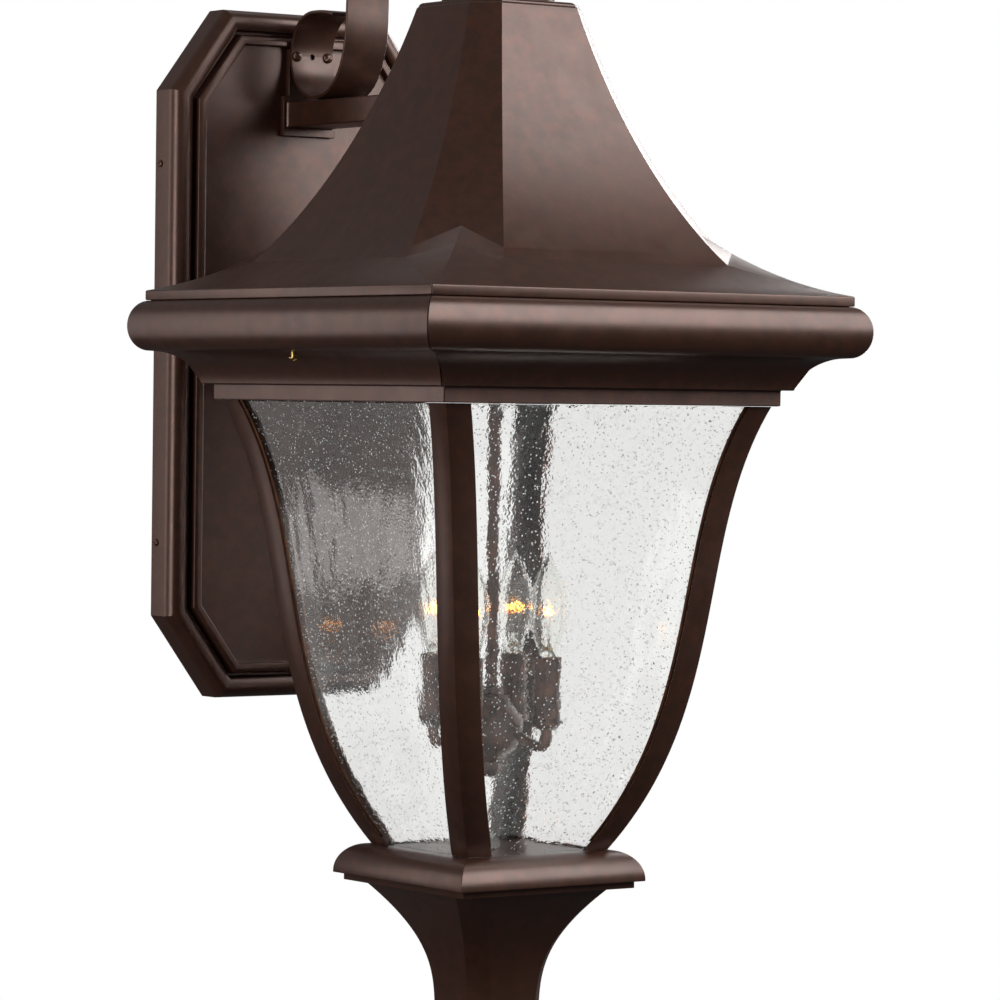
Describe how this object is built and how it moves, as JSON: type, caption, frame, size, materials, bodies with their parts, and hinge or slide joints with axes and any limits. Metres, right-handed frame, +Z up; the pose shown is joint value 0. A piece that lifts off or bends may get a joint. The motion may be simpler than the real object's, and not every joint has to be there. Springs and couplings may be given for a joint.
{
  "type": "outdoor wall lantern",
  "caption": "Bell-shaped glazed outdoor wall lantern with a concave spire roof, hung from a flat scroll strap and bar on a chamfered wall plate.",
  "frame": {"origin": "middle of the mounting plate's back face, on the wall", "axes": "+Y into the wall, +Z up, +X to the right seen from the front; the lantern hangs out along -Y"},
  "size_m": [0.4324, 0.5282, 0.9877],
  "materials": {
    "patina_bronze": "dark patina bronze powder coat, satin",
    "bronze_sleeve": "bronze candle sleeve, satin",
    "zinc_steel": "zinc plated",
    "bulb_brass": "pressed screw base",
    "black_phenolic": "moulded phenolic",
    "seeded_glass": "clear seeded glass",
    "bulb_glass": "clear blown envelope"
  },
  "bodies": {
    "fixed_bracket": {"wall_plate": "patina_bronze", "arm_base_plate": "patina_bronze", "arm_bar": "patina_bronze", "scroll_strap": "patina_bronze", "roof_shell": "patina_bronze", "roof_collar": "patina_bronze", "top_finial": "patina_bronze", "stem": "patina_bronze", "hub": "patina_bronze", "mounting_plate": "zinc_steel", "plate_side_screw_upper_left": "patina_bronze", "plate_side_screw_lower_left": "patina_bronze", "plate_side_screw_upper_right": "patina_bronze", "plate_side_screw_lower_right": "patina_bronze", "strap_screw_left": "patina_bronze", "strap_screw_right": "patina_bronze", "cluster_arm_1": "patina_bronze", "socket_cup_1": "patina_bronze", "candle_sleeve_1": "bronze_sleeve", "lampholder_1": "black_phenolic", "cluster_arm_2": "patina_bronze", "socket_cup_2": "patina_bronze", "candle_sleeve_2": "bronze_sleeve", "lampholder_2": "black_phenolic", "cluster_arm_3": "patina_bronze", "socket_cup_3": "patina_bronze", "candle_sleeve_3": "bronze_sleeve", "lampholder_3": "black_phenolic", "cluster_arm_4": "patina_bronze", "socket_cup_4": "patina_bronze", "candle_sleeve_4": "bronze_sleeve", "lampholder_4": "black_phenolic"},
    "lantern_body": {"cornice_front": "patina_bronze", "glass_pane_front": "seeded_glass", "cornice_right": "patina_bronze", "glass_pane_right": "seeded_glass", "cornice_back": "patina_bronze", "glass_pane_back": "seeded_glass", "cornice_left": "patina_bronze", "glass_pane_left": "seeded_glass", "corner_post_front_left": "patina_bronze", "corner_post_front_right": "patina_bronze", "corner_post_back_right": "patina_bronze", "corner_post_back_left": "patina_bronze", "cage_top_frame": "patina_bronze", "saucer": "patina_bronze", "foot": "patina_bronze", "bottom_finial": "patina_bronze", "finial_rod": "zinc_steel", "rod_nut": "zinc_steel"},
    "retaining_screw_left": {"retaining_screw_left": "patina_bronze"},
    "retaining_screw_right": {"retaining_screw_right": "patina_bronze"},
    "bulb_1": {"bulb_glass_1": "bulb_glass", "bulb_base_1": "bulb_brass"},
    "bulb_2": {"bulb_glass_2": "bulb_glass", "bulb_base_2": "bulb_brass"},
    "bulb_3": {"bulb_glass_3": "bulb_glass", "bulb_base_3": "bulb_brass"},
    "bulb_4": {"bulb_glass_4": "bulb_glass", "bulb_base_4": "bulb_brass"}
  },
  "joints": [
    {"name": "body_drop", "type": "slide", "parent": "fixed_bracket", "child": "lantern_body", "axis": [0, 0, -1], "range_m": [0, 0.4]},
    {"name": "retaining_screw_left_turn", "type": "hinge", "parent": "lantern_body", "child": "retaining_screw_left", "pos_m": [-0.1935, -0.312, -0.0045], "axis": [0, 0, 1], "continuous": true},
    {"name": "retaining_screw_right_turn", "type": "hinge", "parent": "lantern_body", "child": "retaining_screw_right", "pos_m": [0.1935, -0.312, -0.0045], "axis": [0, 0, 1], "continuous": true},
    {"name": "bulb_1_turn", "type": "hinge", "parent": "fixed_bracket", "child": "bulb_1", "pos_m": [0.04048, -0.28621, -0.25], "axis": [0, 0, 1], "continuous": true},
    {"name": "bulb_2_turn", "type": "hinge", "parent": "fixed_bracket", "child": "bulb_2", "pos_m": [-0.02579, -0.27152, -0.25], "axis": [0, 0, 1], "continuous": true},
    {"name": "bulb_3_turn", "type": "hinge", "parent": "fixed_bracket", "child": "bulb_3", "pos_m": [-0.04048, -0.33779, -0.25], "axis": [0, 0, 1], "continuous": true},
    {"name": "bulb_4_turn", "type": "hinge", "parent": "fixed_bracket", "child": "bulb_4", "pos_m": [0.02579, -0.35248, -0.25], "axis": [0, 0, 1], "continuous": true}
  ]
}
